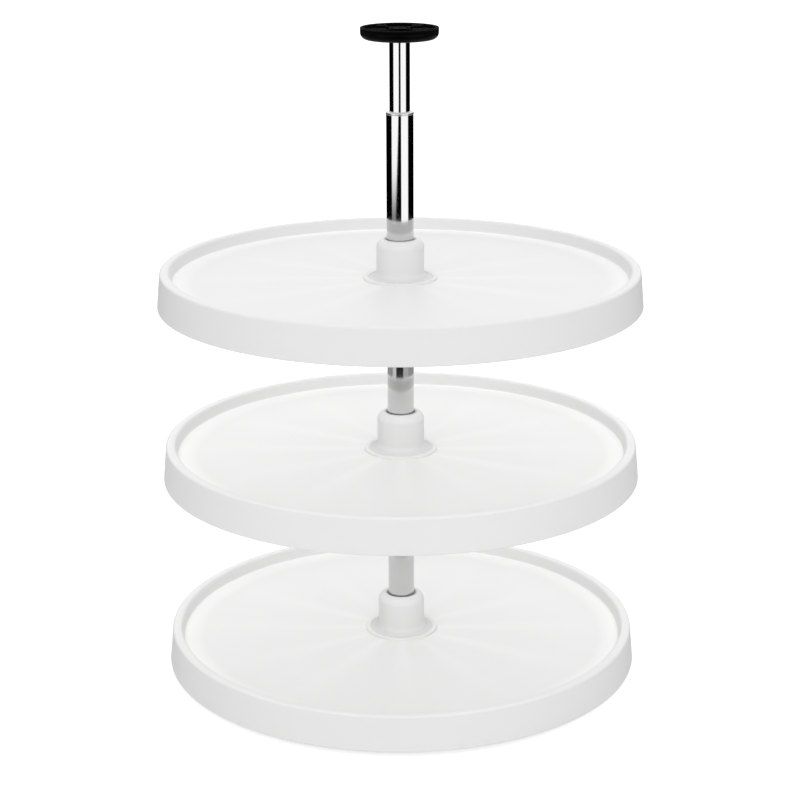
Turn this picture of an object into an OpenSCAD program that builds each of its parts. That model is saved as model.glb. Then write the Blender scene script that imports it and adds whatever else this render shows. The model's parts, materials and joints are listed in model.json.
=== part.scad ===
// Three round shelves that turn on a telescoping post, for a corner pantry or wall cupboard.
// Origin: centre of the base plate's underside. +Z runs up the post. Millimetres.
// Each tier is drawn about its own floor, whose top is z = 0 there, and then lifted into place.

/* [Shelves] */
// Diameter of a shelf at the foot of its skirt
shelf_d = 457; // [380:1:520]
// Height of the skirt, from its foot to the top of the rim
skirt_h = 34; // [28:0.5:36]
// How far the skirt leans in from foot to rim
skirt_draft = 3.2; // [0:0.1:6]
// Width of the flat ring on top of the rim
rim_w = 9; // [8:0.5:16]
// Depth of the shelf's floor below the rim
shelf_depth = 12; // [8:0.5:16]
// How far the inner wall leans in from rim to floor
inner_draft = 2; // [0:0.1:4]
// Wall thickness of a shelf
shelf_wall = 3; // [2:0.1:3.5]
// Edge rounding along the rim
rim_edge_r = 2.5; // [0.5:0.1:3]
// Fillet between the inner wall and the floor
floor_fillet_r = 3; // [1:0.5:5]
// Ribs under each floor
rib_n = 12; // [6:1:24]
// Thickness of a rib
rib_t = 2; // [1:0.1:4]
// How far a rib reaches below the floor's underside
rib_h = 7.5; // [5:0.5:14]
// Rise from the bottom shelf to the middle one
middle_rise = 187; // [160:1:230]
// Rise from the middle shelf to the top one
top_rise = 169; // [160:1:220]

/* [Hubs] */
// Diameter of the upright part of a hub
hub_d = 45; // [42:0.5:50]
// Height of a hub above the shelf's floor
hub_h = 38; // [30:0.5:48]
// Diameter of the flange that covers the floor round a hub
hub_flange_d = 70; // [66:0.5:90]
// Thickness of that flange
hub_flange_t = 2; // [1:0.1:4]
// Rounding of a hub's shoulder
hub_shoulder_r = 8; // [4:0.5:8.5]
// Fillet from a hub's side to its flange
hub_foot_r = 8; // [4:0.5:9]
// Gap between the post and the mouth of a hub
hub_mouth_gap = 1.2; // [0.5:0.1:1.5]
// Lip at a hub's mouth that stops the bush
hub_lip_t = 5; // [3:0.5:8]
// Length of the spigot that passes down through the shelf
hub_spigot_h = 17; // [15.5:0.5:22]
// Wall of that spigot
hub_spigot_wall = 8; // [6:0.5:9]
// Thickness of the shelf's boss round the spigot
boss_t = 8; // [5:0.5:9]
// How far the boss stands out past the ring nut
boss_lip = 2; // [0.5:0.5:4]
// Height of the ring nut under the boss
nut_h = 7; // [5:0.5:8]
// Wall of the ring nut
nut_wall = 7; // [5:0.5:8]
// Grip notches round the ring nut
nut_notch_n = 8; // [4:1:12]
// Radius of a grip notch
nut_notch_r = 2.5; // [1.5:0.5:3]
// Wall of the bearing bush inside a hub
bush_wall = 3.2; // [2.5:0.1:4]
// Thickness of the bush's flange
bush_flange_t = 2; // [1.5:0.5:3]
// How far the bush's flange stands out
bush_flange_w = 2.5; // [1.5:0.5:3]

/* [Collars] */
// Thickness of a thrust washer
washer_t = 1.5; // [1:0.1:3]
// Wall of a collar
collar_wall = 5.8; // [5:0.1:8]
// Height of a collar
collar_h = 12; // [10:0.5:16]
// Diameter of a collar's grub screw
grub_d = 6; // [4:0.5:8]
// Socket across corners in the grub screw
grub_hex_d = 3.4; // [2:0.1:3.8]
// Depth of that socket
grub_hex_depth = 2.5; // [1:0.1:4]

/* [Outer post] */
// Outer diameter of the outer post
post_d = 25.4; // [24:0.1:28]
// Wall of the outer post
post_wall = 1.2; // [0.8:0.1:1.4]
// Length of the outer post
post_len = 534; // [500:1:640]
// Length of the guide bush inside the post's top end
guide_len = 30; // [15:1:50]
// Thickness of the guide bush's end ring
guide_ring_t = 2; // [1:0.5:4]
// How far the end ring stands out past the post
guide_ring_lip = 0.3; // [0:0.1:1]

/* [Inner post] */
// Outer diameter of the inner post
inner_d = 19.05; // [18:0.05:19.6]
// Wall of the inner post
inner_wall = 1.2; // [0.8:0.1:1.4]
// Length of the inner post
inner_len = 300; // [240:1:340]
// Length of the inner post that shows below the bracket
inner_out = 66; // [50:0.5:140]
// Depth of each end piece inside the inner post
plug_depth = 20; // [10:1:30]
// Thickness of each end piece's flange
plug_flange_t = 2; // [1:0.5:3]

/* [Twist lock] */
// Length of the lock's cone
cone_h = 12; // [8:0.5:16]
// Radius of the cone at its wide end
cone_wide_r = 8.5; // [7:0.1:9]
// Radius of the cone at its narrow end
cone_narrow_r = 5.5; // [4:0.1:6.5]
// Length of the threaded stem below the cone
stem_h = 20; // [14:1:30]
// Diameter of the threaded stem
stem_d = 6; // [4:0.5:7]
// Length of the expanding sleeve
sleeve_h = 28; // [24:1:30]
// Slots in the expanding sleeve
slot_n = 4; // [2:1:6]
// Width of a slot
slot_w = 1.5; // [0.8:0.1:3]
// Depth of a slot
slot_depth = 17; // [8:1:20]
// How far the sleeve stays below the wide end of the cone
sleeve_drop = 2; // [1:0.5:3]

/* [Top bracket] */
// Diameter of the top bracket
bracket_d = 72; // [70:0.5:90]
// Height of the top bracket
bracket_h = 11; // [9.5:0.1:14]
// Rounding of the bracket's lower edge
bracket_edge_r = 6.5; // [1:0.5:7]
// Width of the bracket's raised rim
bracket_rim_w = 3; // [2:0.5:5]
// Depth of the dish inside the rim
dish_depth = 3; // [2:0.5:3.5]
// Depth of the socket that hides the post's end
socket_depth = 3.5; // [2:0.5:4]
// Outer radius of the ring round the pivot
pivot_ring_r = 9.8; // [9.5:0.1:12]
// Wall of that ring
pivot_ring_wall = 2; // [1:0.1:3]
// How far the ring stays below the rim
pivot_ring_drop = 0.5; // [0:0.1:1]
// Circle of the bracket's screw holes
bracket_pcd = 46; // [42:1:50]
// Screw holes in the bracket
bracket_hole_n = 4; // [3:1:6]
// Diameter of a bracket screw hole
bracket_hole_d = 4.5; // [3:0.1:5.5]
// Diameter of the pocket for a screw's head
head_pocket_d = 9; // [7:0.5:10]
// Depth of that pocket
head_pocket_depth = 3; // [1:0.5:4]
// Radius of the boss round a screw hole
screw_boss_r = 5; // [4:0.5:6]
// Width of a bracket arm
arm_w = 2.5; // [1.5:0.5:4]
// How far an arm stays below the rim
arm_drop = 1; // [0.5:0.1:1.5]
// Diameter of the pivot journal
journal_d = 10; // [8:0.5:12]
// Diameter of the pivot screw
pivot_screw_d = 5; // [4:0.5:6]
// Length of the pivot screw below its head
pivot_screw_len = 16; // [10:1:20]
// Diameter of the pivot screw's head
pivot_head_d = 13; // [12.5:0.5:15]
// Thickness of the pivot screw's head
pivot_head_t = 2; // [1.5:0.1:2.4]
// Driver socket across corners in the pivot screw
pivot_hex_d = 4.6; // [3:0.1:6]
// Depth of that socket
pivot_hex_depth = 1.3; // [0.5:0.1:1.4]

/* [Base] */
// Diameter of the base plate
base_d = 130; // [110:1:180]
// Thickness of the base plate
base_t = 3; // [2.5:0.5:5]
// Rounding of the base plate's upper edge
base_edge_r = 1; // [0.5:0.1:2]
// Circle of the base plate's screw holes
base_pcd = 100; // [80:1:105]
// Screw holes in the base plate
base_hole_n = 4; // [3:1:8]
// Diameter of a base screw hole
base_hole_d = 5; // [4:0.1:6]
// Diameter of its countersink
base_sink_d = 9; // [8:0.5:11]
// Depth of its countersink
base_sink_depth = 1.5; // [1:0.1:2]
// Height of the shoulder that carries the bottom shelf, above the plate
shoulder_h = 3.5; // [3:0.5:8]
// Depth of the groove that the outer post stands in
groove_depth = 2.5; // [1:0.5:2.5]
// Length of the spigot inside the outer post
spigot_len = 40; // [25:1:80]
// Diameter of the base screw
base_screw_d = 6; // [5:0.5:8]
// Length of the base screw, head included
base_screw_len = 18; // [14:1:22]
// Diameter of the base screw's head
base_head_d = 12; // [10:0.5:13]
// Height of the base screw's head
base_head_h = 2.5; // [2:0.1:2.5]
// Driver socket across corners in the base screw
base_hex_d = 4.6; // [3:0.1:6]
// Depth of that socket
base_hex_depth = 1.8; // [1:0.1:2]

/* [Fits] */
// Radial clearance where one piece turns or slides on another
run_fit = 0.06; // [0.02:0.01:0.1]
// Radial clearance where a piece is fixed in another
seat_fit = 0.05; // [0.02:0.01:0.1]
// Radial clearance where pieces only pass each other
pass_gap = 0.3; // [0.3:0.05:0.6]
// Play under the pivot screw's head
pivot_play = 0.1; // [0.05:0.01:0.3]

/* [Hidden] */
$fn = 96;

// Tubes
post_r = post_d / 2;
post_bore_r = post_r - post_wall;
inner_r = inner_d / 2;
inner_bore_r = inner_r - inner_wall;

// Hub, bush, nut and collar, about the post
bush_out_r = post_r + run_fit + bush_wall;
bush_flange_r = bush_out_r + bush_flange_w;
hub_r = hub_d / 2;
hub_flange_r = hub_flange_d / 2;
hub_bore_r = bush_out_r + seat_fit;
mouth_r = post_r + hub_mouth_gap;
spigot_r = hub_bore_r + hub_spigot_wall;
nut_bore_r = spigot_r + seat_fit;
nut_r = nut_bore_r + nut_wall;
boss_r = nut_r + boss_lip;
collar_r = post_r + run_fit + collar_wall;
washer_bore_r = post_r + pass_gap;

// Heights within a tier, from the top of the shelf's floor
rim_z = shelf_depth;
skirt_foot_z = rim_z - skirt_h;
spigot_foot_z = -hub_spigot_h;
washer_top_z = spigot_foot_z - bush_flange_t;
collar_top_z = washer_top_z - washer_t;
collar_mid_z = collar_top_z - collar_h / 2;

// Heights on the post
shoulder_z = base_t + shoulder_h;
bottom_floor_z = shoulder_z - collar_top_z;
middle_floor_z = bottom_floor_z + middle_rise;
top_floor_z = middle_floor_z + top_rise;
post_foot_z = shoulder_z - groove_depth;
post_top_z = post_foot_z + post_len;
bracket_z = post_top_z + guide_ring_t + inner_out;
plug_top_z = bracket_z + socket_depth;
inner_top_z = plug_top_z - plug_flange_t;
inner_foot_z = inner_top_z - inner_len;
cone_top_z = inner_foot_z - plug_flange_t;
cone_foot_z = cone_top_z - cone_h;
dish_z = bracket_z + bracket_h - dish_depth;
journal_top_z = dish_z + pivot_play;
sleeve_top_z = cone_top_z - sleeve_drop;

// Small allowances that keep unions and cuts clean
bite = 0.5;
cut = 1;

// Turn of the first screw hole of a circle, from +X
first_hole = 45;
// How much longer than deep the slope is at a rib's inner end
rib_slope = 2;

// Points on an arc about c, of radius r, from angle a to angle b
function arc(c, r, a, b, steps = 6) =
  [for (i = [0:steps]) let (t = a + (b - a) * i / steps) [c[0] + r * cos(t), c[1] + r * sin(t)]];

// A ring of square section
module ring(outer, bore, foot, height) {
  translate([0, 0, foot]) difference() {
    cylinder(r = outer, h = height);
    translate([0, 0, -cut]) cylinder(r = bore, h = height + 2 * cut);
  }
}

// Copies its children round a circle, the first one turned by start
module around(count, radius, start = 0) {
  for (i = [0:count - 1])
    rotate([0, 0, start + i * 360 / count]) translate([radius, 0, 0]) children();
}

// Lifts a tier's piece to the shelf whose floor is at height z
module tier(z) {
  translate([0, 0, z]) children();
}

// ---- Shelf

skirt_foot_r = shelf_d / 2;
rim_out_r = skirt_foot_r - skirt_draft;
rim_in_r = rim_out_r - rim_w;
floor_r = rim_in_r - inner_draft;

// Half section of a shelf: skirt, rim, inner wall, floor and boss
module shelf_section() {
  polygon(concat(
    [[skirt_foot_r - shelf_wall, skirt_foot_z], [skirt_foot_r, skirt_foot_z]],
    arc([rim_out_r - rim_edge_r, rim_z - rim_edge_r], rim_edge_r, 0, 90),
    arc([rim_in_r + rim_edge_r, rim_z - rim_edge_r], rim_edge_r, 90, 180),
    arc([floor_r - floor_fillet_r, floor_fillet_r], floor_fillet_r, 0, -90),
    [[spigot_r + pass_gap, 0], [spigot_r + pass_gap, -boss_t], [boss_r, -boss_t]],
    [[boss_r, -shelf_wall], [floor_r + shelf_wall, -shelf_wall]],
    [[rim_in_r + shelf_wall, rim_z - shelf_wall], [rim_out_r - shelf_wall, rim_z - shelf_wall]]
  ));
}

// Side view of a rib, from the boss to the skirt
module rib_side() {
  rib_end_r = rim_out_r - shelf_wall / 2;
  rib_foot_z = -shelf_wall - rib_h;
  rib_start_r = boss_r - bite;
  rib_full_r = boss_r + rib_slope * rib_h;
  polygon([
    [rib_start_r, -shelf_wall + bite], [rib_start_r, -boss_t + bite],
    [rib_full_r, rib_foot_z], [rib_end_r, rib_foot_z], [rib_end_r, -shelf_wall + bite]
  ]);
}

module shelf() {
  color("whitesmoke") union() {
    rotate_extrude() shelf_section();
    around(rib_n, 0) translate([0, rib_t / 2, 0]) rotate([90, 0, 0])
      linear_extrude(rib_t) rib_side();
  }
}

// ---- Hub and what holds it

// Half section of a hub: spigot, flange, foot fillet, side, shoulder, mouth and bush seat
module hub_section() {
  flange_edge_r = hub_flange_t / 2;
  polygon(concat(
    [[hub_bore_r, spigot_foot_z], [spigot_r, spigot_foot_z], [spigot_r, 0], [hub_flange_r, 0]],
    arc([hub_flange_r - flange_edge_r, flange_edge_r], flange_edge_r, 0, 90, 4),
    arc([hub_r + hub_foot_r, hub_flange_t + hub_foot_r], hub_foot_r, 270, 180, 8),
    arc([hub_r - hub_shoulder_r, hub_h - hub_shoulder_r], hub_shoulder_r, 0, 90, 8),
    [[mouth_r, hub_h], [mouth_r, hub_h - hub_lip_t], [hub_bore_r, hub_h - hub_lip_t]]
  ));
}

module hub() {
  color("white") rotate_extrude() hub_section();
}

module hub_nut() {
  color("gainsboro") difference() {
    ring(nut_r, nut_bore_r, -boss_t - nut_h, nut_h);
    around(nut_notch_n, nut_r) translate([0, 0, -boss_t - nut_h - cut])
      cylinder(r = nut_notch_r, h = nut_h + 2 * cut);
  }
}

module hub_bush() {
  color("ivory") union() {
    ring(bush_out_r, post_r + run_fit, washer_top_z, hub_h - hub_lip_t - washer_top_z);
    ring(bush_flange_r, post_r + run_fit, washer_top_z, bush_flange_t);
  }
}

module thrust_washer() {
  color("lightgray") ring(collar_r, washer_bore_r, collar_top_z, washer_t);
}

// ---- Collar

module collar() {
  color("silver") difference() {
    ring(collar_r, post_r + run_fit, collar_top_z - collar_h, collar_h);
    translate([0, 0, collar_mid_z]) rotate([90, 0, 0])
      cylinder(d = grub_d + 2 * seat_fit, h = collar_r + cut);
  }
}

module collar_screw() {
  tip_r = post_r + pass_gap;
  color("dimgray") translate([0, 0, collar_mid_z]) rotate([90, 0, 0]) difference() {
    translate([0, 0, tip_r]) cylinder(d = grub_d, h = collar_r - pass_gap - tip_r);
    translate([0, 0, collar_r - pass_gap - grub_hex_depth])
      cylinder(d = grub_hex_d, h = grub_hex_depth + cut, $fn = 6);
  }
}

// ---- Base

module base_plate() {
  color("silver") difference() {
    rotate_extrude() polygon(concat(
      [[0, 0], [base_d / 2, 0]],
      arc([base_d / 2 - base_edge_r, base_t - base_edge_r], base_edge_r, 0, 90),
      [[0, base_t]]
    ));
    around(base_hole_n, base_pcd / 2, first_hole) {
      translate([0, 0, -cut]) cylinder(d = base_hole_d, h = base_t + 2 * cut);
      translate([0, 0, base_t - base_sink_depth])
        cylinder(d1 = base_hole_d, d2 = base_sink_d, h = base_sink_depth);
    }
    translate([0, 0, -cut]) cylinder(d = base_screw_d + 2 * pass_gap, h = base_t + 2 * cut);
    cylinder(d1 = base_head_d + 2 * seat_fit, d2 = base_screw_d + 2 * pass_gap, h = base_head_h);
  }
}

module base_spigot() {
  core_r = post_bore_r - seat_fit;
  color("dimgray") difference() {
    union() {
      translate([0, 0, base_t]) cylinder(r = collar_r, h = shoulder_h);
      translate([0, 0, base_t]) cylinder(r = core_r, h = post_foot_z - base_t + spigot_len);
    }
    ring(post_r + seat_fit, core_r, post_foot_z, groove_depth + cut);
    translate([0, 0, base_t - cut])
      cylinder(d = base_screw_d + 2 * seat_fit, h = base_screw_len - base_t + 2 * cut);
  }
}

module base_screw() {
  color("lightslategray") difference() {
    union() {
      cylinder(d1 = base_head_d, d2 = base_screw_d, h = base_head_h);
      cylinder(d = base_screw_d, h = base_screw_len);
    }
    translate([0, 0, -cut]) cylinder(d = base_hex_d, h = base_hex_depth + cut, $fn = 6);
  }
}

// ---- Posts

module outer_post() {
  color("silver") ring(post_r, post_bore_r, post_foot_z, post_len);
}

module post_guide_bush() {
  bore_r = inner_r + run_fit;
  color("lightgray") union() {
    ring(post_bore_r - seat_fit, bore_r, post_top_z - guide_len, guide_len + guide_ring_t);
    ring(post_r + guide_ring_lip, bore_r, post_top_z, guide_ring_t);
  }
}

module inner_post() {
  color("silver") ring(inner_r, inner_bore_r, inner_foot_z, inner_len);
}

// ---- Twist lock, inside the outer post

module lock_core() {
  color("slategray") rotate_extrude() polygon([
    [0, cone_foot_z - stem_h], [stem_d / 2, cone_foot_z - stem_h], [stem_d / 2, cone_foot_z],
    [cone_narrow_r, cone_foot_z], [cone_wide_r, cone_top_z], [inner_r, cone_top_z],
    [inner_r, inner_foot_z], [inner_bore_r - seat_fit, inner_foot_z],
    [inner_bore_r - seat_fit, inner_foot_z + plug_depth], [0, inner_foot_z + plug_depth]
  ]);
}

module lock_sleeve() {
  sleeve_r = post_bore_r - run_fit;
  sleeve_foot_z = sleeve_top_z - sleeve_h;
  taper = (cone_wide_r - cone_narrow_r) / cone_h;
  seat_z = cone_foot_z - pass_gap;
  mouth_cone_r = cone_narrow_r + taper * (sleeve_top_z - cone_foot_z) + pass_gap;
  color("ivory") difference() {
    rotate_extrude() polygon([
      [stem_d / 2 + run_fit, sleeve_foot_z], [sleeve_r, sleeve_foot_z], [sleeve_r, sleeve_top_z],
      [mouth_cone_r, sleeve_top_z], [cone_narrow_r + pass_gap, seat_z], [stem_d / 2 + run_fit, seat_z]
    ]);
    around(slot_n, stem_d / 2 + run_fit + bite)
      translate([0, -slot_w / 2, sleeve_top_z - slot_depth])
        cube([sleeve_r, slot_w, slot_depth + cut]);
  }
}

// ---- Top bracket and its pivot

module post_end_plug() {
  color("slategray") difference() {
    rotate_extrude() polygon([
      [0, inner_top_z - plug_depth], [inner_bore_r - seat_fit, inner_top_z - plug_depth],
      [inner_bore_r - seat_fit, inner_top_z], [inner_r, inner_top_z], [inner_r, plug_top_z],
      [journal_d / 2, plug_top_z], [journal_d / 2, journal_top_z], [0, journal_top_z]
    ]);
    translate([0, 0, journal_top_z - pivot_screw_len - cut])
      cylinder(d = pivot_screw_d + 2 * seat_fit, h = pivot_screw_len + 2 * cut);
  }
}

module pivot_screw() {
  head_top_z = journal_top_z + pivot_head_t;
  color("dimgray") difference() {
    union() {
      translate([0, 0, journal_top_z - pivot_screw_len]) cylinder(d = pivot_screw_d, h = pivot_screw_len);
      translate([0, 0, journal_top_z]) cylinder(d = pivot_head_d, h = pivot_head_t);
    }
    translate([0, 0, head_top_z - pivot_hex_depth])
      cylinder(d = pivot_hex_d, h = pivot_hex_depth + cut, $fn = 6);
  }
}

module top_bracket() {
  rim_r = bracket_d / 2;
  top_z = bracket_z + bracket_h;
  arm_len = bracket_pcd / 2 - pivot_ring_r;
  color("black") difference() {
    union() {
      rotate_extrude() polygon(concat(
        [[0, bracket_z]],
        arc([rim_r - bracket_edge_r, bracket_z + bracket_edge_r], bracket_edge_r, -90, 0),
        [[rim_r, top_z], [rim_r - bracket_rim_w, top_z], [rim_r - bracket_rim_w, dish_z], [0, dish_z]]
      ));
      translate([0, 0, dish_z - bite])
        cylinder(r = pivot_ring_r, h = dish_depth + bite - pivot_ring_drop);
      around(bracket_hole_n, bracket_pcd / 2, first_hole) translate([0, 0, dish_z - bite])
        cylinder(r = screw_boss_r, h = dish_depth + bite);
      around(bracket_hole_n, pivot_ring_r - bite, first_hole) translate([0, -arm_w / 2, dish_z - bite])
        cube([arm_len, arm_w, dish_depth + bite - arm_drop]);
    }
    translate([0, 0, dish_z]) cylinder(r = pivot_ring_r - pivot_ring_wall, h = dish_depth + cut);
    translate([0, 0, bracket_z - cut]) cylinder(r = inner_r + pass_gap, h = socket_depth + cut);
    translate([0, 0, bracket_z - cut]) cylinder(d = journal_d + 2 * run_fit, h = bracket_h);
    around(bracket_hole_n, bracket_pcd / 2, first_hole) {
      translate([0, 0, bracket_z - cut]) cylinder(d = bracket_hole_d, h = bracket_h + 2 * cut);
      translate([0, 0, bracket_z - cut]) cylinder(d = head_pocket_d, h = head_pocket_depth + cut);
    }
  }
}

base_plate();
base_spigot();
base_screw();
outer_post();
post_guide_bush();
lock_sleeve();
lock_core();
inner_post();
post_end_plug();
pivot_screw();
top_bracket();

tier(bottom_floor_z) shelf();  // bottom_shelf
tier(bottom_floor_z) hub();  // bottom_hub
tier(bottom_floor_z) hub_nut();  // bottom_hub_nut
tier(bottom_floor_z) hub_bush();  // bottom_hub_bush
tier(bottom_floor_z) thrust_washer();  // bottom_thrust_washer

tier(middle_floor_z) shelf();  // middle_shelf
tier(middle_floor_z) hub();  // middle_hub
tier(middle_floor_z) hub_nut();  // middle_hub_nut
tier(middle_floor_z) hub_bush();  // middle_hub_bush
tier(middle_floor_z) thrust_washer();  // middle_thrust_washer
tier(middle_floor_z) collar();  // middle_collar
tier(middle_floor_z) collar_screw();  // middle_collar_screw

tier(top_floor_z) shelf();  // top_shelf
tier(top_floor_z) hub();  // top_hub
tier(top_floor_z) hub_nut();  // top_hub_nut
tier(top_floor_z) hub_bush();  // top_hub_bush
tier(top_floor_z) thrust_washer();  // top_thrust_washer
tier(top_floor_z) collar();  // top_collar
tier(top_floor_z) collar_screw();  // top_collar_screw
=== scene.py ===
import json
from math import cos, pi, radians, sin, tan

import bmesh
import bpy
from mathutils import Matrix, Vector

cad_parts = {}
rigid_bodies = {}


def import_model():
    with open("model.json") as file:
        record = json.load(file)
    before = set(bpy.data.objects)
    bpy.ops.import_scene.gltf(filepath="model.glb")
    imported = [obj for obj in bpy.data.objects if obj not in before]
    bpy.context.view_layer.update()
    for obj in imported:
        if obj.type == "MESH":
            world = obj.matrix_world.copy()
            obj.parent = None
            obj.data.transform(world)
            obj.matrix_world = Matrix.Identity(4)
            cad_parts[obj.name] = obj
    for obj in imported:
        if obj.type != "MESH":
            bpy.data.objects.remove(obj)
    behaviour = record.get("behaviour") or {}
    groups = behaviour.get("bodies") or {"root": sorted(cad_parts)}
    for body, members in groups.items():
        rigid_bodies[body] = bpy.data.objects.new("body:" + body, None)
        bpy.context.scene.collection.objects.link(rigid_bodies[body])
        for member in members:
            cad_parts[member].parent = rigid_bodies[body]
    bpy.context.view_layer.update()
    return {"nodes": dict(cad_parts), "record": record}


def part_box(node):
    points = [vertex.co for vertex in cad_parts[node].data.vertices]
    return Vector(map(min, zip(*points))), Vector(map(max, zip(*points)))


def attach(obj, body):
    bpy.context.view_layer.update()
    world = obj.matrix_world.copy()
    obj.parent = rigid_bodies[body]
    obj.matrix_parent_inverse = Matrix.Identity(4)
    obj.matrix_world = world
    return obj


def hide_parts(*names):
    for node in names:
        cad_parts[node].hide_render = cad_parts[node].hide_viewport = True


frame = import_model()
cadNodes = frame["nodes"]
scene = bpy.context.scene
mm = 0.001  # the dictionaries below hold millimetres and degrees, as one would measure the thing
tiers = ["bottom", "middle", "top"]
print("frame loaded:", len(cadNodes), "nodes")


# Wires and nodes: an expression on wires adds its own Math nodes

def findSocket(sockets, key):
    if isinstance(key, int):
        return sockets[key]
    return next((s for s in sockets if s.identifier == key), None) or sockets[key]


class Wire:
    def __init__(self, graph, node, socket):
        self.graph, self.node, self.socket = graph, node, socket

    def out(self, key):
        return Wire(self.graph, self.node, findSocket(self.node.outputs, key))

    def maths(self, operation, *others):
        return self.graph.add("ShaderNodeMath", {"operation": operation}, dict(enumerate([self, *others])))

    def reverse(self, operation, other):
        return self.graph.add("ShaderNodeMath", {"operation": operation}, {0: other, 1: self})

    def __add__(self, other): return self.maths("ADD", other)
    def __radd__(self, other): return self.maths("ADD", other)
    def __sub__(self, other): return self.maths("SUBTRACT", other)
    def __rsub__(self, other): return self.reverse("SUBTRACT", other)
    def __mul__(self, other): return self.maths("MULTIPLY", other)
    def __rmul__(self, other): return self.maths("MULTIPLY", other)
    def __truediv__(self, other): return self.maths("DIVIDE", other)
    def __rtruediv__(self, other): return self.reverse("DIVIDE", other)
    def __gt__(self, other): return self.maths("GREATER_THAN", other)
    def __lt__(self, other): return self.maths("LESS_THAN", other)

    def ramp(self, low, high):  # a smooth step from 0 at low to 1 at high
        return self.graph.add("ShaderNodeMapRange", {"interpolation_type": "SMOOTHSTEP"},
                              {"Value": self, "From Min": low, "From Max": high})


class Graph:
    def __init__(self, tree):
        self.tree = tree

    def add(self, kind, settings={}, values={}, out=0):
        node = self.tree.nodes.new(kind)
        for name, value in settings.items():
            setattr(node, name, value)
        for key, value in values.items():
            socket = findSocket(node.inputs, key)
            if isinstance(value, Wire):
                self.tree.links.new(value.socket, socket)
            else:
                socket.default_value = value
        return Wire(self, node, findSocket(node.outputs, out)) if len(node.outputs) else None


# Finishes: cloud, handled, lineNoise and rubNoise hold a noise's scale, detail and roughness, and
# grainDetail the last two of them

def grey(level, tint=0.0):  # tint above 0 leans to warm, below 0 to cold
    return (level * (1 + tint), level, level * (1 - tint), 1)


def newFinish(name):
    material = bpy.data.materials.new(name)
    material.use_nodes = True
    material.node_tree.nodes.clear()
    graph = Graph(material.node_tree)
    place = graph.add("ShaderNodeTexCoord", out="Object")
    return material, graph, place


def noise(graph, place, scale, detail=2.0, roughness=0.5):
    return graph.add("ShaderNodeTexNoise", {}, {"Vector": place, "Scale": scale, "Detail": detail,
                                               "Roughness": roughness})


def stretched(graph, place, scales):
    return graph.add("ShaderNodeMapping", {}, {"Vector": place, "Scale": scales})


def blended(graph, mask, first, second):
    return graph.add("ShaderNodeMix", {"data_type": "RGBA"},
                     {"Factor_Float": mask, "A_Color": first, "B_Color": second}, "Result_Color")


def bumped(graph, height, distance):
    return graph.add("ShaderNodeBump", {}, {"Height": height, "Distance": distance})


def finishWith(graph, values):
    shader = graph.add("ShaderNodeBsdfPrincipled", {}, values)
    graph.add("ShaderNodeOutputMaterial", {}, {"Surface": shader})


# Zones are rings about the post, from one radius to another. A lift or dip added to the level there is
# painted light or painted shade.
trayPlasticUser = {"level": 0.85, "tint": 0.002, "roughness": 0.42, "sheen": 0.22,
                   "cloud": (9, 3), "cloudDepth": 0.012, "cloudRoughness": 0.08,
                   "handled": (34, 4, 0.65), "handledRoughness": 0.05,
                   "grainSize": 0.5, "grainDetail": (2, 0.6), "grainHeight": 0.010,
                   "bandCount": 12, "bandInner": 30, "bandOuter": 214, "bandDepth": 0.018, "bandBump": 0.6,
                   "bandDip": 0.45, "bandEven": 0.7, "bandFade": 0.85, "bandDrift": 2.5, "bandDriftSize": 0.5,
                   "floorPaintedLight": 0.045, "coveFrom": 192, "coveTo": 211, "covePaintedLight": 0.105, "wallPaintedShade": 0.03,
                   "zoneEdge": 2.5, "rimFrom": 216.5, "rimTo": 225.5, "rimPaintedLight": 0.04,
                   "footFrom": 22.3, "footTo": 31.5, "footPaintedShade": 0.0}
# On a hub the rim zone is its flange's bead, lifted as a painted highlight, and the foot zone its fillet,
# dipped as painted shade
hubPlasticUser = dict(trayPlasticUser, level=0.82, bandDepth=0.0, floorPaintedLight=0.0, covePaintedLight=0.0, wallPaintedShade=0.0,
                      rimFrom=30.5, rimTo=35.5, footPaintedShade=0.085)


def zone(reach, start, end, edge):
    return reach.ramp(start * mm, (start + edge) * mm) * (1 - reach.ramp((end - edge) * mm, end * mm))


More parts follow.
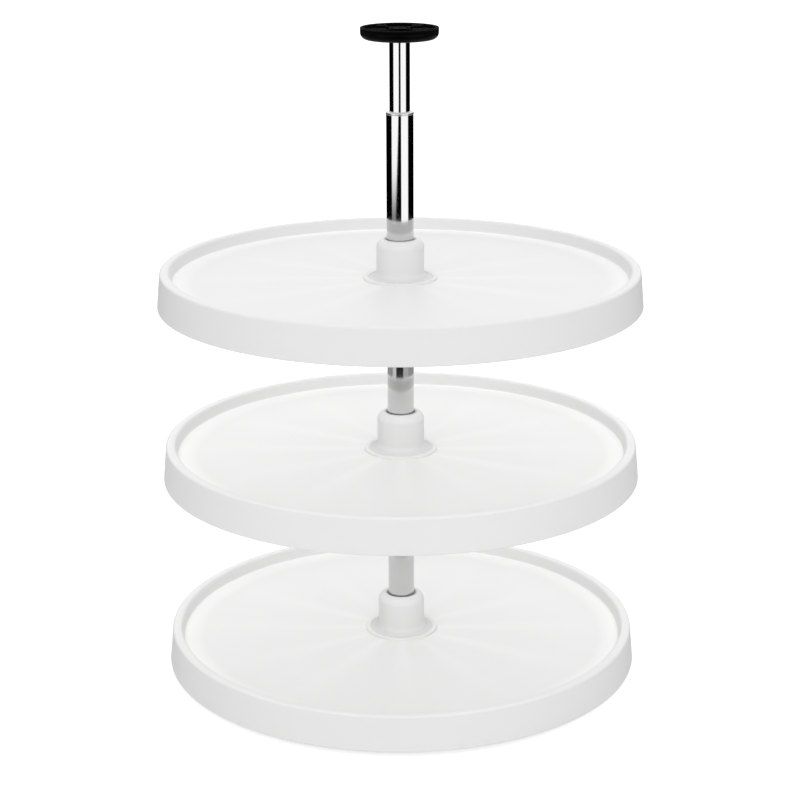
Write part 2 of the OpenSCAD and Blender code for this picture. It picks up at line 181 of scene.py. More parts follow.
def whitePlastic(name, user):
    material, graph, place = newFinish(name)
    axes = graph.add("ShaderNodeSeparateXYZ", {}, {"Vector": place})
    x, y = axes.out("X"), axes.out("Y")
    turn = y.maths("ARCTAN2", x)
    reach = (x * x + y * y).maths("SQRT")
    cloud = noise(graph, place, *user["cloud"])
    # Pale rays on a floor, over the ribs that stand under it. A drift round the post makes them uneven.
    wave = ((turn * user["bandCount"]).maths("COSINE")
            + (turn * (2 * user["bandCount"])).maths("COSINE") * user["bandDip"])
    awayFromAxis = reach + mm  # never nothing, so it can be divided by
    facing = graph.add("ShaderNodeCombineXYZ", {}, {"X": x / awayFromAxis, "Y": y / awayFromAxis})
    drift = (noise(graph, facing, 1 / user["bandDriftSize"]) - 0.5) * user["bandDrift"]
    fade = 1 - reach.ramp(user["bandInner"] * mm, user["bandOuter"] * mm) * user["bandFade"]
    onFloor = reach < user["bandOuter"] * mm
    rays = (wave * (user["bandEven"] + drift) + drift) * fade * onFloor
    # Painted light: the whole floor, the corner below the wall and the rim are lifted paler, where light
    # gathers
    cove = reach.ramp(user["coveFrom"] * mm, user["coveTo"] * mm) * onFloor
    rim = zone(reach, user["rimFrom"], user["rimTo"], user["zoneEdge"])
    # Painted shade: the wall and the fillet at a hub's foot are dipped darker, where light is missing
    wallTop = user["rimFrom"] * mm
    wall = (reach > user["bandOuter"] * mm) * (1 - reach.ramp(wallTop, wallTop + user["zoneEdge"] * mm))
    foot = zone(reach, user["footFrom"], user["footTo"], user["zoneEdge"])
    lift = (onFloor * user["floorPaintedLight"] + cove * user["covePaintedLight"] + rim * user["rimPaintedLight"]
            - foot * user["footPaintedShade"] - wall * user["wallPaintedShade"])
    # The blend's ends lie half a level below and above, so shade adds to the level as it is
    shade = rays * user["bandDepth"] + (cloud - 0.5) * user["cloudDepth"] + lift + 0.5
    colour = blended(graph, shade, grey(user["level"] - 0.5), grey(user["level"] + 0.5, user["tint"]))
    grain = noise(graph, place, 1 / (user["grainSize"] * mm), *user["grainDetail"])
    handled = noise(graph, place, *user["handled"])
    roughness = (user["roughness"] + (cloud - 0.5) * user["cloudRoughness"]
                 + (handled - 0.5) * user["handledRoughness"])
    normal = bumped(graph, grain + rays * user["bandBump"], user["grainHeight"] * mm)
    finishWith(graph, {"Base Color": colour, "Roughness": roughness, "Normal": normal,
                       "Specular IOR Level": user["sheen"]})
    return material


chromeUser = {"level": 0.63, "levelSpread": 0.02, "tint": 0.004, "roughness": 0.06,
              "cloud": (40, 3), "cloudRoughness": 0.02,
              "lineLength": 50, "lineWidth": 0.33, "lineNoise": (1, 2), "lineHeight": 0.0008,
              "rubScales": (30, 30, 700), "rubNoise": (1, 3), "rubFrom": 0.6, "rubTo": 0.85,
              "rubRoughness": 0.02}


def chrome():
    user = chromeUser
    material, graph, place = newFinish("chromePlate")
    cloud = noise(graph, place, *user["cloud"])
    # Fine polishing lines run round the tube and smear its reflections up and down
    across, along = 1 / (user["lineLength"] * mm), 1 / (user["lineWidth"] * mm)
    lines = noise(graph, stretched(graph, place, (across, across, along)), *user["lineNoise"])
    rub = noise(graph, stretched(graph, place, user["rubScales"]), *user["rubNoise"])
    colour = blended(graph, cloud, grey(user["level"] - user["levelSpread"], user["tint"]),
                     grey(user["level"] + user["levelSpread"], -user["tint"]))
    roughness = (user["roughness"] + (cloud - 0.5) * user["cloudRoughness"]
                 + rub.ramp(user["rubFrom"], user["rubTo"]) * user["rubRoughness"])
    normal = bumped(graph, lines, user["lineHeight"] * mm)
    finishWith(graph, {"Base Color": colour, "Roughness": roughness, "Normal": normal, "Metallic": 1.0})
    return material


# The paler band's start, mattFrom and mattTo are measured up from the dish's floor, the paler band's end down
# from the top
blackPlasticUser = {"level": 0.0005, "roughness": 0.3, "sheen": 0.05,
                    "cloud": (60, 3), "cloudRoughness": 0.06,
                    "grainSize": 0.35, "grainDetail": (3, 0.6), "grainHeight": 0.02,
                    "dishFloor": 614, "top": 617, "topRoughness": 0.95, "mattFrom": -1.2, "mattTo": -0.2,
                    "wearAndHighlightLevel": 0.007, "wearAndHighlightEven": 0.55, "wearAndHighlightCloud": 0.5, "wearAndHighlightFrom": 1.6,
                    "wearAndHighlightBelowTop": 0.7}


def blackPlastic():
    user = blackPlasticUser
    material, graph, place = newFinish("blackPlastic")
    height = graph.add("ShaderNodeSeparateXYZ", {}, {"Vector": place}).out("Z")
    cloud = noise(graph, place, *user["cloud"])
    grain = noise(graph, place, 1 / (user["grainSize"] * mm), *user["grainDetail"])
    # What stands up out of the dish is a little paler: partly handled wear, partly a painted highlight on its
    # edges and tops. The whole top is matt
    floor = user["dishFloor"]
    wearAndHighlight = height.ramp((floor + user["wearAndHighlightFrom"]) * mm, (user["top"] - user["wearAndHighlightBelowTop"]) * mm)
    matt = height.ramp((floor + user["mattFrom"]) * mm, (floor + user["mattTo"]) * mm)
    colour = blended(graph, wearAndHighlight * (user["wearAndHighlightEven"] + cloud * user["wearAndHighlightCloud"]), grey(user["level"]),
                     grey(user["wearAndHighlightLevel"]))
    roughness = (user["roughness"] + matt * (user["topRoughness"] - user["roughness"])
                 + (cloud - 0.5) * user["cloudRoughness"])
    finishWith(graph, {"Base Color": colour, "Roughness": roughness, "Specular IOR Level": user["sheen"],
                       "Normal": bumped(graph, grain, user["grainHeight"] * mm)})
    return material


nylonUser = {"darkest": 0.94, "palest": 1.05, "cloud": (70, 3), "cloudRoughness": 0.12, "grainSize": 0.5,
             "grainHeight": 0.008}


def nylon(name, level, tint, roughness):
    user = nylonUser
    material, graph, place = newFinish(name)
    cloud = noise(graph, place, *user["cloud"])
    grain = noise(graph, place, 1 / (user["grainSize"] * mm))
    colour = blended(graph, cloud, grey(level * user["darkest"], tint), grey(level * user["palest"], tint))
    finishWith(graph, {"Base Color": colour, "Roughness": roughness + (cloud - 0.5) * user["cloudRoughness"],
                       "Normal": bumped(graph, grain, user["grainHeight"] * mm)})
    return material


steelUser = {"darkest": 0.86, "palest": 1.08, "paleTint": 0.3, "cloud": (55, 4, 0.6), "cloudRoughness": 0.18,
             "spangleScale": 420, "spangleShare": 0.3, "lineScales": (120, 120, 5200), "lineNoise": (1, 2),
             "lineHeight": 0.004}


def steel(name, level, tint, roughness, metallic=1.0, sheen=0.5):
    user = steelUser
    material, graph, place = newFinish(name)
    cloud = noise(graph, place, *user["cloud"])
    spangle = graph.add("ShaderNodeTexVoronoi", {}, {"Vector": place, "Scale": user["spangleScale"]},
                        "Distance")
    lines = noise(graph, stretched(graph, place, user["lineScales"]), *user["lineNoise"])
    share = user["spangleShare"]
    colour = blended(graph, cloud * (1 - share) + spangle * share, grey(level * user["darkest"], tint),
                     grey(level * user["palest"], tint * user["paleTint"]))
    finishWith(graph, {"Base Color": colour, "Metallic": metallic, "Specular IOR Level": sheen,
                       "Roughness": roughness + (cloud - 0.5) * user["cloudRoughness"],
                       "Normal": bumped(graph, lines + spangle * share, user["lineHeight"] * mm)})
    return material


finishes = {
    "white_plastic": whitePlastic("trayPlastic", trayPlasticUser),
    "hub_plastic": whitePlastic("hubPlastic", hubPlasticUser),  # the hubs' plastic, a shade darker than the trays'
    "chrome": chrome(),
    "black_plastic": blackPlastic(),
    "natural_nylon": nylon("naturalNylon", level=0.76, tint=0.035, roughness=0.45),
    "dark_nylon": nylon("darkNylon", level=0.05, tint=-0.02, roughness=0.5),
    "zinc_steel": steel("zincSteel", level=0.60, tint=-0.01, roughness=0.26),
    "dark_steel": steel("darkSteel", level=0.010, tint=0.0, roughness=0.88, metallic=0.0, sheen=0.05),
}
for row in frame["record"]["subparts"]:
    mesh = cadNodes[row["node"]].data
    mesh.materials.clear()
    mesh.materials.append(finishes[row["material_slot"]])
print("finishes made:", len(finishes))


# Outlines: corners are (radius, height, rounding), turned about the post

outlineUser = {"stepLength": 0.6, "fewestSteps": 3, "margin": 0.25, "leastFlat": 0.75, "axis": 0.001,
               "steps": 128, "pathRadius": 1, "sharpAngle": 32, "weld": 0.0001}
quarterTurn = [radians(a) for a in (0, 30, 60, 90)]


def rounded(corners, stepLength):
    user = outlineUser
    points = []
    count = len(corners)
    for i, (r, z, rounding) in enumerate(corners):
        here = Vector((r, z))
        back = Vector(corners[i - 1][:2]) - here
        ahead = Vector(corners[(i + 1) % count][:2]) - here
        if rounding <= 0:
            points.append(here)
            continue
        opening = back.angle(ahead)
        setback = rounding / tan(opening / 2)
        steps = max(user["fewestSteps"], round(rounding * (pi - opening) / stepLength))
        start, end = here + back.normalized() * setback, here + ahead.normalized() * setback
        middle = here + (back.normalized() + ahead.normalized()).normalized() * (rounding / sin(opening / 2))
        first, last = start - middle, end - middle
        sweep = first.angle_signed(last)
        # A point on the flat beside the rounding keeps it looking flat
        if setback + user["leastFlat"] < back.length / 2:
            points.append(start + back.normalized() * user["margin"])
        for k in range(steps + 1):
            spun = first.copy()
            spun.rotate(Matrix.Rotation(-sweep * k / steps, 2))
            points.append(middle + spun)
        if setback + user["leastFlat"] < ahead.length / 2:
            points.append(end + ahead.normalized() * user["margin"])
    return points


def addInputs(tree, wanted):
    keys = {}
    for name, (kind, value) in wanted.items():
        item = tree.interface.new_socket(name=name, in_out="INPUT", socket_type=kind)
        if value is not None:
            item.default_value = value
        keys[name] = item.identifier
    tree.interface.new_socket(name="Geometry", in_out="OUTPUT", socket_type="NodeSocketGeometry")
    return keys


def closeTree(graph, given, shape):
    # Every tree ends alike: plain mesh, smooth but for its sharp edges, and one finish
    plain = graph.add("GeometryNodeRealizeInstances", {}, {"Geometry": shape})
    smooth = graph.add("GeometryNodeSetShadeSmooth", {"domain": "FACE"}, {"Geometry": plain})
    bend = graph.add("GeometryNodeInputMeshEdgeAngle") > given.out("Sharp Angle")
    sharp = graph.add("GeometryNodeSetShadeSmooth", {"domain": "EDGE"},
                      {"Geometry": smooth, "Selection": bend, "Shade Smooth": False})
    dressed = graph.add("GeometryNodeSetMaterial", {}, {"Geometry": sharp, "Material": given.out("Finish")})
    graph.add("NodeGroupOutput", {}, {"Geometry": dressed})


def makeTurnTree():
    user = outlineUser
    tree = bpy.data.node_groups.new("turnOnPost", "GeometryNodeTree")
    keys = addInputs(tree, {"Geometry": ("NodeSocketGeometry", None),
                            "Steps": ("NodeSocketInt", user["steps"]),
                            "Sharp Angle": ("NodeSocketFloat", radians(user["sharpAngle"])),
                            "Finish": ("NodeSocketMaterial", None)})
    graph = Graph(tree)
    given = graph.add("NodeGroupInput")
    pathRadius = user["pathRadius"] * mm
    place = graph.add("ShaderNodeSeparateXYZ", {}, {"Vector": graph.add("GeometryNodeInputPosition")})
    flat = graph.add("ShaderNodeCombineXYZ", {}, {"X": place.out("X") - pathRadius, "Y": place.out("Z") * -1})
    profile = graph.add("GeometryNodeSetPosition", {}, {"Geometry": given, "Position": flat})
    curve = graph.add("GeometryNodeMeshToCurve", {}, {"Mesh": profile})
    path = graph.add("GeometryNodeCurvePrimitiveCircle", {}, {"Resolution": given.out("Steps"),
                                                             "Radius": pathRadius})
    swept = graph.add("GeometryNodeCurveToMesh", {}, {"Curve": path, "Profile Curve": curve})
    closeTree(graph, given, swept)
    return tree, keys


def makeFanTree(operation):
    tree = bpy.data.node_groups.new("fan" + operation.title(), "GeometryNodeTree")
    keys = addInputs(tree, {"Geometry": ("NodeSocketGeometry", None), "Tool": ("NodeSocketObject", None),
                            "Count": ("NodeSocketInt", 1), "Start": ("NodeSocketFloat", 0.0),
                            "Sharp Angle": ("NodeSocketFloat", radians(outlineUser["sharpAngle"])),
                            "Finish": ("NodeSocketMaterial", None)})
    graph = Graph(tree)
    given = graph.add("NodeGroupInput")
    tool = graph.add("GeometryNodeObjectInfo", {}, {"Object": given.out("Tool")}, "Geometry")
    spots = graph.add("GeometryNodePoints", {}, {"Count": given.out("Count")})
    turn = graph.add("GeometryNodeInputIndex") * (2 * pi) / given.out("Count") + given.out("Start")
    facing = graph.add("ShaderNodeCombineXYZ", {}, {"Z": turn})
    copies = graph.add("GeometryNodeInstanceOnPoints", {},
                       {"Points": spots, "Instance": tool, "Rotation": facing})
    plain = graph.add("GeometryNodeRealizeInstances", {}, {"Geometry": copies})
    if operation == "UNION":
        both = graph.add("GeometryNodeJoinGeometry")
        for part in (plain, given):
            tree.links.new(part.socket, both.node.inputs[0])
        values = {"Mesh 2": both}
    else:
        values = {"Mesh 1": given, "Mesh 2": plain}
    cut = graph.add("GeometryNodeMeshBoolean", {"operation": operation, "solver": "MANIFOLD"}, values)
    closeTree(graph, given, cut)
    return tree, keys


turnTree = makeTurnTree()
fanTrees = {operation: makeFanTree(operation) for operation in ("UNION", "DIFFERENCE")}


def newObject(name, mesh):
    piece = bpy.data.objects.new(name, mesh)
    scene.collection.objects.link(piece)
    return piece


def addTree(piece, treeAndKeys, values):
    tree, keys = treeAndKeys
    modifier = piece.modifiers.new(tree.name, "NODES")
    modifier.node_group = tree
    for name, value in values.items():
        modifier[keys[name]] = value


def settle(piece):
    # The modifiers' result becomes the piece's own plain mesh
    shaped = bpy.data.meshes.new_from_object(piece.evaluated_get(bpy.context.evaluated_depsgraph_get()))
    piece.modifiers.clear()
    old, piece.data = piece.data, shaped
    bpy.data.meshes.remove(old)
    shaped.name = piece.name


def outward(mesh):
    work = bmesh.new()
    work.from_mesh(mesh)
    bmesh.ops.remove_doubles(work, verts=work.verts, dist=outlineUser["weld"] * mm)
    bmesh.ops.recalc_face_normals(work, faces=work.faces)
    work.to_mesh(mesh)
    work.free()


def turned(name, corners, slot, steps, lift=0.0, stepLength=outlineUser["stepLength"]):
    outline = rounded(corners, stepLength)
    mesh = bpy.data.meshes.new(name)
    points = [(p.x * mm, 0, (p.y + lift) * mm) for p in outline]
    mesh.from_pydata(points, [(i, (i + 1) % len(points)) for i in range(len(points))], [])
    piece = newObject(name, mesh)
    addTree(piece, turnTree, {"Steps": steps, "Finish": finishes[slot]})
    settle(piece)
    outward(piece.data)
    return piece


def fanned(piece, tool, operation, count, slot, start=0.0):
    addTree(piece, fanTrees[operation], {"Tool": tool, "Count": count, "Start": radians(start),
                                         "Finish": finishes[slot]})
    settle(piece)
    bpy.data.objects.remove(tool)


def mount(piece, body, slot, *nodes):
    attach(piece, body)
    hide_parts(*nodes)


# Trays: one moulding each, with the ribs that stand under its floor

trayUser = {"depth": 12, "rimWidth": 9, "outerDraft": 3.2, "innerDraft": 2, "wall": 3, "rimEdge": 2.5,
            "footEdge": 0.8, "footInnerEdge": 0.5, "floorFillet": 3, "underFillet": 1.2, "underEdge": 0.8,
            "bossDepth": 8, "bossReach": 9.05, "bossEdge": 0.8, "boreGap": 0.3, "boreEdge": 0.3,
            "ribCount": 12, "ribWidth": 2.0, "ribDepth": 7.5, "ribRoot": 1.0, "ribSlope": 2, "ribEdge": 0.5,
            "ribSink": 0.5, "steps": 256}


def loft(name, sections):
    # A closed solid through sections with equal numbers of points
    mesh = bpy.data.meshes.new(name)
    work = bmesh.new()
    rings = [[work.verts.new(p) for p in section] for section in sections]
    for one, two in zip(rings, rings[1:]):
        for i in range(len(one)):
            k = (i + 1) % len(one)
            work.faces.new((one[i], one[k], two[k], two[i]))
    work.faces.new(rings[0])
    work.faces.new(rings[-1])
    bmesh.ops.recalc_face_normals(work, faces=work.faces)
    work.to_mesh(mesh)
    work.free()
    return newObject(name, mesh)


def mirrored(side):
    return side + [(-y, z) for y, z in reversed(side)]


def ribSection(reach, depth, lift):
    # Across a rib: flared root in the floor, straight sides, rounded foot
    user = trayUser
    half, root, edge = user["ribWidth"] / 2, user["ribRoot"], user["ribEdge"]
    top, foot = -user["wall"] + user["ribSink"], -user["wall"] - depth
    flare = [(half + root * (1 - sin(a)), -user["wall"] - root * (1 - cos(a))) for a in quarterTurn]
    tip = [(half - edge + edge * cos(a), foot + edge - edge * sin(a)) for a in quarterTurn]
    return [(reach * mm, y * mm, (z + lift) * mm) for y, z in mirrored([(half + root, top)] + flare + tip)]


def makeTray(tier):
    user = trayUser
    low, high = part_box(tier + "_shelf")
    footReach, rimTop, foot = high.x / mm, high.z / mm, low.z / mm
    floor = rimTop - user["depth"]
    rimOuter = footReach - user["outerDraft"]
    rimInner = rimOuter - user["rimWidth"]
    floorReach = rimInner - user["innerDraft"]
    bore = hubUser["spigot"] + user["boreGap"]
    boss = hubUser["spigot"] + user["bossReach"]
    wall, rim = user["wall"], user["depth"]
    tray = turned(tier + "Tray", [
        (footReach - wall, foot - floor, user["footInnerEdge"]), (footReach, foot - floor, user["footEdge"]),
        (rimOuter, rim, user["rimEdge"]), (rimInner, rim, user["rimEdge"]),
        (floorReach, 0, user["floorFillet"]),
        (bore, 0, user["boreEdge"]), (bore, -user["bossDepth"], user["boreEdge"]),
        (boss, -user["bossDepth"], user["bossEdge"]), (boss, -wall, user["underFillet"]),
        (floorReach + wall, -wall, user["underFillet"]),
        (rimInner + wall, rim - wall, user["underEdge"]), (rimOuter - wall, rim - wall, user["underEdge"]),
    ], "white_plastic", user["steps"], floor)
    sink = user["ribSink"]
    ribFull = boss + user["ribSlope"] * user["ribDepth"]
    ribEnd = rimOuter - wall / 2
    rib = loft("rib", [ribSection(boss - sink, user["bossDepth"] - wall - sink, floor),
                       ribSection(ribFull, user["ribDepth"], floor),
                       ribSection(ribEnd, user["ribDepth"], floor)])
    fanned(tray, rib, "UNION", user["ribCount"], "white_plastic")
    mount(tray, tier + "_tier", "white_plastic", tier + "_shelf")
    return floor


hubUser = {"width": 45, "flange": 2, "flangeEdge": 1.1, "bead": 4, "beadDrop": 1.0, "beadSlope": 1,
           "beadEdge": 0.8, "beadRoot": 0.6, "shoulder": 8, "foot": 7, "mouth": 14.1, "mouthEdge": 0.8,
           "lip": 5, "lipEdge": 0.3, "bore": 16.01, "boreEdge": 0.4, "spigot": 24.01, "spigotEdge": 0.8,
           "steps": 128}


def makeHub(tier, floor):
    user = hubUser
    low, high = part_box(tier + "_hub")
    side, flange = user["width"] / 2, high.x / mm
    height, foot = high.z / mm - floor, low.z / mm - floor
    bead, web = flange - user["bead"], user["flange"] - user["beadDrop"]
    lip = height - user["lip"]
    hub = turned(tier + "Hub", [
        (user["bore"], foot, user["boreEdge"]), (user["spigot"], foot, user["spigotEdge"]),
        (user["spigot"], 0, 0), (flange, 0, 0), (flange, user["flange"], user["flangeEdge"]),
        (bead, user["flange"], user["beadEdge"]), (bead - user["beadSlope"], web, user["beadRoot"]),
        (side, web, user["foot"]), (side, height, user["shoulder"]),
        (user["mouth"], height, user["mouthEdge"]), (user["mouth"], lip, user["lipEdge"]),
        (user["bore"], lip, 0),
    ], "hub_plastic", user["steps"], floor)
    mount(hub, tier + "_tier", "white_plastic", tier + "_hub")


nutUser = {"bore": 24.06, "reach": 31.06, "depth": 7, "edge": 0.8, "seatEdge": 0.3,
           "notches": 8, "notch": 2.5, "notchSteps": 24, "notchPast": 1, "steps": 128}


def cutter(name, corners, slot, steps, reach, lift=0.0):
    # A pin beside the post, through (radius, height) corners from its foot to its top
    axis = outlineUser["axis"]
    closed = [(axis, corners[0][1])] + corners + [(axis, corners[-1][1])]
    pin = turned(name, [(r, z, 0) for r, z in closed], slot, steps, lift)
    pin.data.transform(Matrix.Translation((reach * mm, 0, 0)))
    return pin


def makeNut(tier, floor):
    user = nutUser
    top = -trayUser["bossDepth"]
    foot = top - user["depth"]
    nut = turned(tier + "HubNut", [
        (user["bore"], foot, user["edge"]), (user["reach"], foot, user["edge"]),
        (user["reach"], top, user["edge"]), (user["bore"], top, user["seatEdge"]),
    ], "white_plastic", user["steps"], floor)
    wide, past = user["notch"], user["notchPast"]
    notch = cutter("notch", [(wide, foot - past), (wide, top + past)], "white_plastic", user["notchSteps"],
                   user["reach"], floor)
    fanned(nut, notch, "DIFFERENCE", user["notches"], "white_plastic")
    mount(nut, tier + "_tier", "white_plastic", tier + "_hub_nut")


for tier in tiers:
    floor = makeTray(tier)
    makeHub(tier, floor)
    makeNut(tier, floor)
print("trays, hubs and nuts made")


# Post: two chromed tubes and the guide bush between them

tubeUser = {"outerWall": 1.2, "innerWall": 1.2, "edge": 0.3, "steps": 160, "stepLength": 0.1}
bushUser = {"ring": 2.0, "lip": 0.3, "clearance": 0.06, "seat": 0.05, "boreEdge": 0.4, "sleeveEdge": 0.6,
            "ringEdge": 0.5, "ringFootEdge": 0.2, "stepLength": 0.15}


def makeTube(name, node, body, wall):
    user = tubeUser
    low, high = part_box(node)
    reach, foot, top = high.y / mm, low.z / mm, high.z / mm
    tube = turned(name, [(r, z, user["edge"]) for r, z in (
        (reach - wall, foot), (reach, foot), (reach, top), (reach - wall, top))],
        "chrome", user["steps"], 0.0, user["stepLength"])
    mount(tube, body, "chrome", node)
    return reach


outerReach = makeTube("outerTube", "outer_post", "stand", tubeUser["outerWall"])
innerReach = makeTube("innerTube", "inner_post", "inner_column", tubeUser["innerWall"])


def makeGuideBush():
    user = bushUser
    low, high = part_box("post_guide_bush")
    foot, top = low.z / mm, high.z / mm
    bore, sleeve = innerReach + user["clearance"], outerReach - tubeUser["outerWall"] - user["seat"]
    ring, ringFoot = outerReach + user["lip"], top - user["ring"]
    bush = turned("guideBush", [
        (bore, foot, user["boreEdge"]), (sleeve, foot, user["sleeveEdge"]), (sleeve, ringFoot, 0),
        (ring, ringFoot, user["ringFootEdge"]), (ring, top, user["ringEdge"]), (bore, top, user["boreEdge"]),
    ], "zinc_steel", tubeUser["steps"], 0.0, user["stepLength"])
    mount(bush, "stand", "zinc_steel", "post_guide_bush")


makeGuideBush()
print("post made")


# Bracket on top: dished disc, pivot ring, four arms that end in screw bosses

bracketUser = {"rim": 3, "rimTopEdge": 0.6, "rimInnerEdge": 0.5, "dish": 3, "dishFillet": 0.6, "edge": 6.5,
               "socket": 3.5, "socketReach": 9.825, "socketEdge": 0.4, "socketFillet": 0.3, "bore": 5.06,
               "boreEdge": 0.2, "ring": 9.8, "ringWall": 2, "ringDrop": 0.5, "ringEdge": 0.5,
               "ringFillet": 0.3, "holeCircle": 46, "hole": 4.5, "pocket": 9, "pocketDepth": 3, "holePast": 1,
               "boss": 5, "bossEdge": 0.5, "bossSteps": 40, "arms": 4, "firstArm": 45, "armWidth": 2.5,
               "armEdge": 0.5, "armDrop": 1, "armInBoss": 0.8, "sink": 0.5, "steps": 160, "stepLength": 0.2}


def makeBracket():
    user = bracketUser
    low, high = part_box("top_bracket")
    reach, foot, top = high.x / mm, low.z / mm, high.z / mm
    rim, dish, socket = reach - user["rim"], top - user["dish"], foot + user["socket"]
    ring, ringTop = user["ring"], top - user["ringDrop"]
    ringInner = ring - user["ringWall"]
    bracket = turned("topBracket", [
        (user["socketReach"], foot, user["socketEdge"]), (reach, foot, user["edge"]),
        (reach, top, user["rimTopEdge"]), (rim, top, user["rimInnerEdge"]), (rim, dish, user["dishFillet"]),
        (ring, dish, user["ringEdge"]), (ring, ringTop, user["ringEdge"]),
        (ringInner, ringTop, user["ringEdge"]), (ringInner, dish, user["ringFillet"]),
        (user["bore"], dish, user["boreEdge"]), (user["bore"], socket, user["boreEdge"]),
        (user["socketReach"], socket, user["socketFillet"]),
    ], "black_plastic", user["steps"], 0.0, user["stepLength"])
    hub, sunk = user["holeCircle"] / 2, dish - user["sink"]
    arm = armSolid(sunk, top - user["armDrop"], ring - user["sink"], hub - user["boss"] + user["armInBoss"])
    axis, past = outlineUser["axis"], user["holePast"]
    boss = turned("boss", [(axis, sunk, 0), (user["boss"], sunk, 0), (user["boss"], top, user["bossEdge"]),
                           (axis, top, 0)], "black_plastic", user["bossSteps"], 0.0, user["stepLength"])
    boss.data.transform(Matrix.Translation((hub * mm, 0, 0)))
    wide, narrow, step = user["pocket"] / 2, user["hole"] / 2, foot + user["pocketDepth"]
    hole = cutter("hole", [(wide, foot - past), (wide, step), (narrow, step), (narrow, top + past)],
                  "black_plastic", user["bossSteps"], hub)
    for tool, operation in ((arm, "UNION"), (boss, "UNION"), (hole, "DIFFERENCE")):
        fanned(bracket, tool, operation, user["arms"], "black_plastic", user["firstArm"])
    mount(bracket, "bracket", "black_plastic", "top_bracket")


def armSolid(foot, top, start, end):
    half, edge = bracketUser["armWidth"] / 2, bracketUser["armEdge"]
    crown = [(half - edge + edge * cos(a), top - edge + edge * sin(a)) for a in quarterTurn]
    outline = mirrored([(half, foot)] + crown)
    return loft("arm", [[(x * mm, y * mm, z * mm) for y, z in outline] for x in (start, end)])


makeBracket()
print("bracket made")


# Stage: floor, lamps, what the metal mirrors, and the camera

# floorReach is in metres
stageUser = {"floorReach": 30, "floorSegments": 64, "floorLevel": 0.8, "floorSeen": 0.5, "floorGlow": 0.8,
             "sky": 0.583}
# Softboxes that mirrors show. Reach and the ramps from and to are metres, slits and edge are degrees from
# the camera. Low down the left box narrows and fades, and deeper still all of it turns to greys.
mirrorUser = {"reach": 6, "segments": 48, "rings": 24, "strength": 2, "softbox": 1.5,
              "ceiling": 1.25, "ceilingFrom": 0.3, "ceilingTo": 1.0,
              "slit": 11, "slitSoft": 3, "slitLow": 50, "slitDeep": 12, "edge": 72, "edgeSoft": 4,
              "narrowFrom": -0.31, "narrowTo": -1.05, "fadeFrom": -0.58, "fadeTo": -0.83, "faded": 0.1,
              "deepFrom": -0.9, "deepTo": -1.15, "deepNarrow": 0.3, "deepBox": 0.54, "deepRight": 0.36,
              "deepDark": 0.26, "deepSlit": 0.022}


def makeFloor():
    user = stageUser
    mesh = bpy.data.meshes.new("floor")
    work = bmesh.new()
    bmesh.ops.create_circle(work, cap_ends=True, segments=user["floorSegments"], radius=user["floorReach"])
    work.to_mesh(mesh)
    work.free()
    floor = newObject("floor", mesh)
    material, graph = newFinish("floorPaper")[:2]
    paper = graph.add("ShaderNodeBsdfDiffuse", {}, {"Color": grey(user["floorLevel"])})
    seen = graph.add("ShaderNodeBsdfDiffuse", {}, {"Color": grey(user["floorSeen"])})
    glow = graph.add("ShaderNodeEmission", {}, {"Color": grey(user["floorGlow"])})
    lit = graph.add("ShaderNodeAddShader", {}, {0: seen, 1: glow})
    ray = graph.add("ShaderNodeLightPath", out="Is Camera Ray")
    surface = graph.add("ShaderNodeMixShader", {}, {0: ray, 1: paper, 2: lit})
    graph.add("ShaderNodeOutputMaterial", {}, {"Surface": surface})
    mesh.materials.append(material)
    floor.visible_glossy = False


def makeMirrorRoom():
    # A shell that only mirrors show: softboxes to both sides of the camera, dark between and behind
    user = mirrorUser
    mesh = bpy.data.meshes.new("mirrorRoom")
    work = bmesh.new()
    bmesh.ops.create_uvsphere(work, u_segments=user["segments"], v_segments=user["rings"],
                              radius=user["reach"])
    work.to_mesh(mesh)
    work.free()
    room = newObject("mirrorRoom", mesh)
    material, graph, place = newFinish("mirrorRoom")
    axes = graph.add("ShaderNodeSeparateXYZ", {}, {"Vector": place})
    x, y, z = axes.out("X"), axes.out("Y"), axes.out("Z")
    turn = x.maths("ABSOLUTE").maths("ARCTAN2", y * -1) * (180 / pi)
    onLeft = x < 0
    narrowed = (1 - z.ramp(user["narrowTo"], user["narrowFrom"])) * onLeft
    faded = (1 - z.ramp(user["fadeTo"], user["fadeFrom"])) * onLeft
    deep = 1 - z.ramp(user["deepTo"], user["deepFrom"])
    slit = (user["slit"] + narrowed * (user["slitLow"] - user["slit"]) * (1 - deep * user["deepNarrow"])
            + deep * (1 - onLeft) * user["slitDeep"])
    inside = (turn - slit).ramp(-user["slitSoft"], user["slitSoft"])
    beyond = turn.ramp(user["edge"] - user["edgeSoft"], user["edge"] + user["edgeSoft"])
    deepBox = user["deepRight"] + onLeft * (user["deepBox"] - user["deepRight"])
    box = (1 - faded * (1 - user["faded"])) * (1 - deep) + deep * deepBox
    lit = (1 - beyond) * box + beyond * deep * user["deepDark"]
    wall = inside * lit + (1 - inside) * deep * user["deepSlit"]
    ceiling = z.ramp(user["ceilingFrom"], user["ceilingTo"])
    level = (wall * (1 - ceiling) * user["softbox"] + ceiling * user["ceiling"]) / user["strength"]
    colour = blended(graph, level, grey(0), grey(1))
    glow = graph.add("ShaderNodeEmission", {}, {"Color": colour, "Strength": user["strength"]})
    graph.add("ShaderNodeOutputMaterial", {}, {"Surface": glow})
    material.cycles.emission_sampling = "NONE"
    mesh.materials.append(material)
    for ray in ("camera", "diffuse", "transmission", "volume_scatter", "shadow"):
        setattr(room, "visible_" + ray, False)


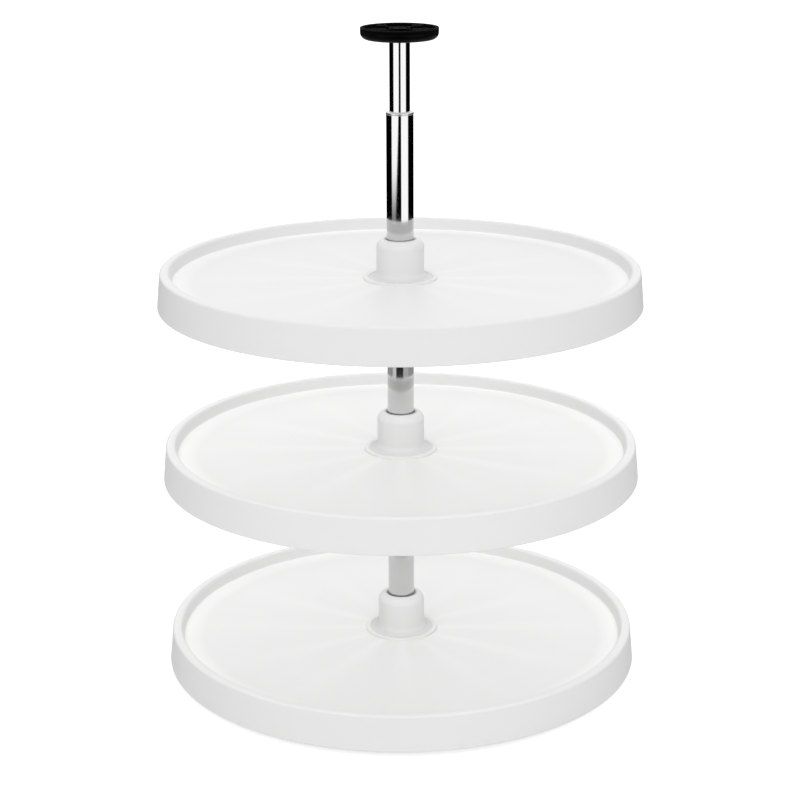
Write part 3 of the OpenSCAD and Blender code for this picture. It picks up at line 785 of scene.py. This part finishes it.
def makeWorld():
    # White to the camera and in mirrors, plainer as a light
    world = bpy.data.worlds.new("paleRoom")
    world.use_nodes = True
    world.node_tree.nodes.clear()
    graph = Graph(world.node_tree)
    rays = graph.add("ShaderNodeLightPath")
    seen = rays.out("Is Camera Ray").maths("MAXIMUM", rays.out("Is Glossy Ray")).maths(
        "MAXIMUM", rays.out("Is Transmission Ray"))
    colour = blended(graph, seen, grey(stageUser["sky"]), grey(1.0))
    sky = graph.add("ShaderNodeBackground", {}, {"Color": colour})
    graph.add("ShaderNodeOutputWorld", {}, {"Surface": sky})
    scene.world = world


# Each tier has a key lamp of its own, so that no tier stands in the shade of the one above
keyUser = {"turn": 0, "rise": 62, "spread": 60,
           "levels": {"top": 0.29, "middle": 0.329, "bottom": 0.318, "rest": 0.38}}
fillUser = {"left": {"turn": -32, "rise": 4, "level": 0.099, "spread": 50},
            "right": {"turn": 32, "rise": 4, "level": 0.099, "spread": 50},
            "back": {"turn": 180, "rise": 30, "level": 0.148, "spread": 60}}
lampDistance = 3  # metres, only for looks in the viewport: a sun lights alike from anywhere


def groupOf(name, pieces):
    group = bpy.data.collections.new(name)
    for piece in pieces:
        group.objects.link(piece)
    return group


def addLamp(name, user, level, lit=(), shading=()):
    light = bpy.data.lights.new(name, "SUN")
    light.energy, light.angle = level * pi, radians(user["spread"])
    lamp = bpy.data.objects.new(name, light)
    scene.collection.objects.link(lamp)
    turn, rise = radians(user["turn"]), radians(user["rise"])
    lamp.location = lampDistance * Vector((sin(turn) * cos(rise), -cos(turn) * cos(rise), sin(rise)))
    lamp.rotation_euler = lamp.location.to_track_quat("Z", "Y").to_euler()
    lamp.visible_camera = lamp.visible_glossy = False
    if lit:
        lamp.light_linking.receiver_collection = groupOf(name + "Lit", lit)
    if shading:
        lamp.light_linking.blocker_collection = groupOf(name + "Shading", shading)


def bodyOf(piece):
    prefix = "body:"
    while piece and not piece.name.startswith(prefix):
        piece = piece.parent
    return piece.name[len(prefix):] if piece else ""


def makeLamps():
    pieces = [o for o in scene.objects if o.type == "MESH" and not o.hide_render and o.name != "mirrorRoom"]
    floor = scene.objects["floor"]
    groups = {tier: [o for o in pieces if bodyOf(o) == tier + "_tier"] for tier in tiers}
    inTiers = {o.name for group in groups.values() for o in group}
    groups["rest"] = [o for o in pieces if o.name not in inTiers and o != floor]
    for name, group in groups.items():
        addLamp(name + "Key", keyUser, keyUser["levels"][name], group, group)
    addLamp("floorKey", keyUser, keyUser["levels"]["rest"], [floor])
    for name, user in fillUser.items():
        addLamp(name + "Fill", user, user["level"])


cameraUser = {"side": -0.7, "distance": 1829, "height": 823, "pitch": 17.03, "roll": -0.2, "lens": 89.7,
              "sensor": 36, "clipStart": 50, "clipEnd": 100000}


def makeCamera():
    user = cameraUser
    data = bpy.data.cameras.new("camera")
    data.lens, data.sensor_width = user["lens"], user["sensor"]
    data.clip_start, data.clip_end = user["clipStart"] * mm, user["clipEnd"] * mm
    camera = bpy.data.objects.new("camera", data)
    scene.collection.objects.link(camera)
    place = Vector((user["side"], -user["distance"], user["height"])) * mm
    camera.matrix_world = (Matrix.Translation(place) @ Matrix.Rotation(radians(90 - user["pitch"]), 4, "X")
                           @ Matrix.Rotation(radians(user["roll"]), 4, "Z"))
    scene.camera = camera


makeFloor()
makeMirrorRoom()
makeWorld()
makeLamps()
makeCamera()
scene.view_settings.view_transform = "Standard"
print("stage made")
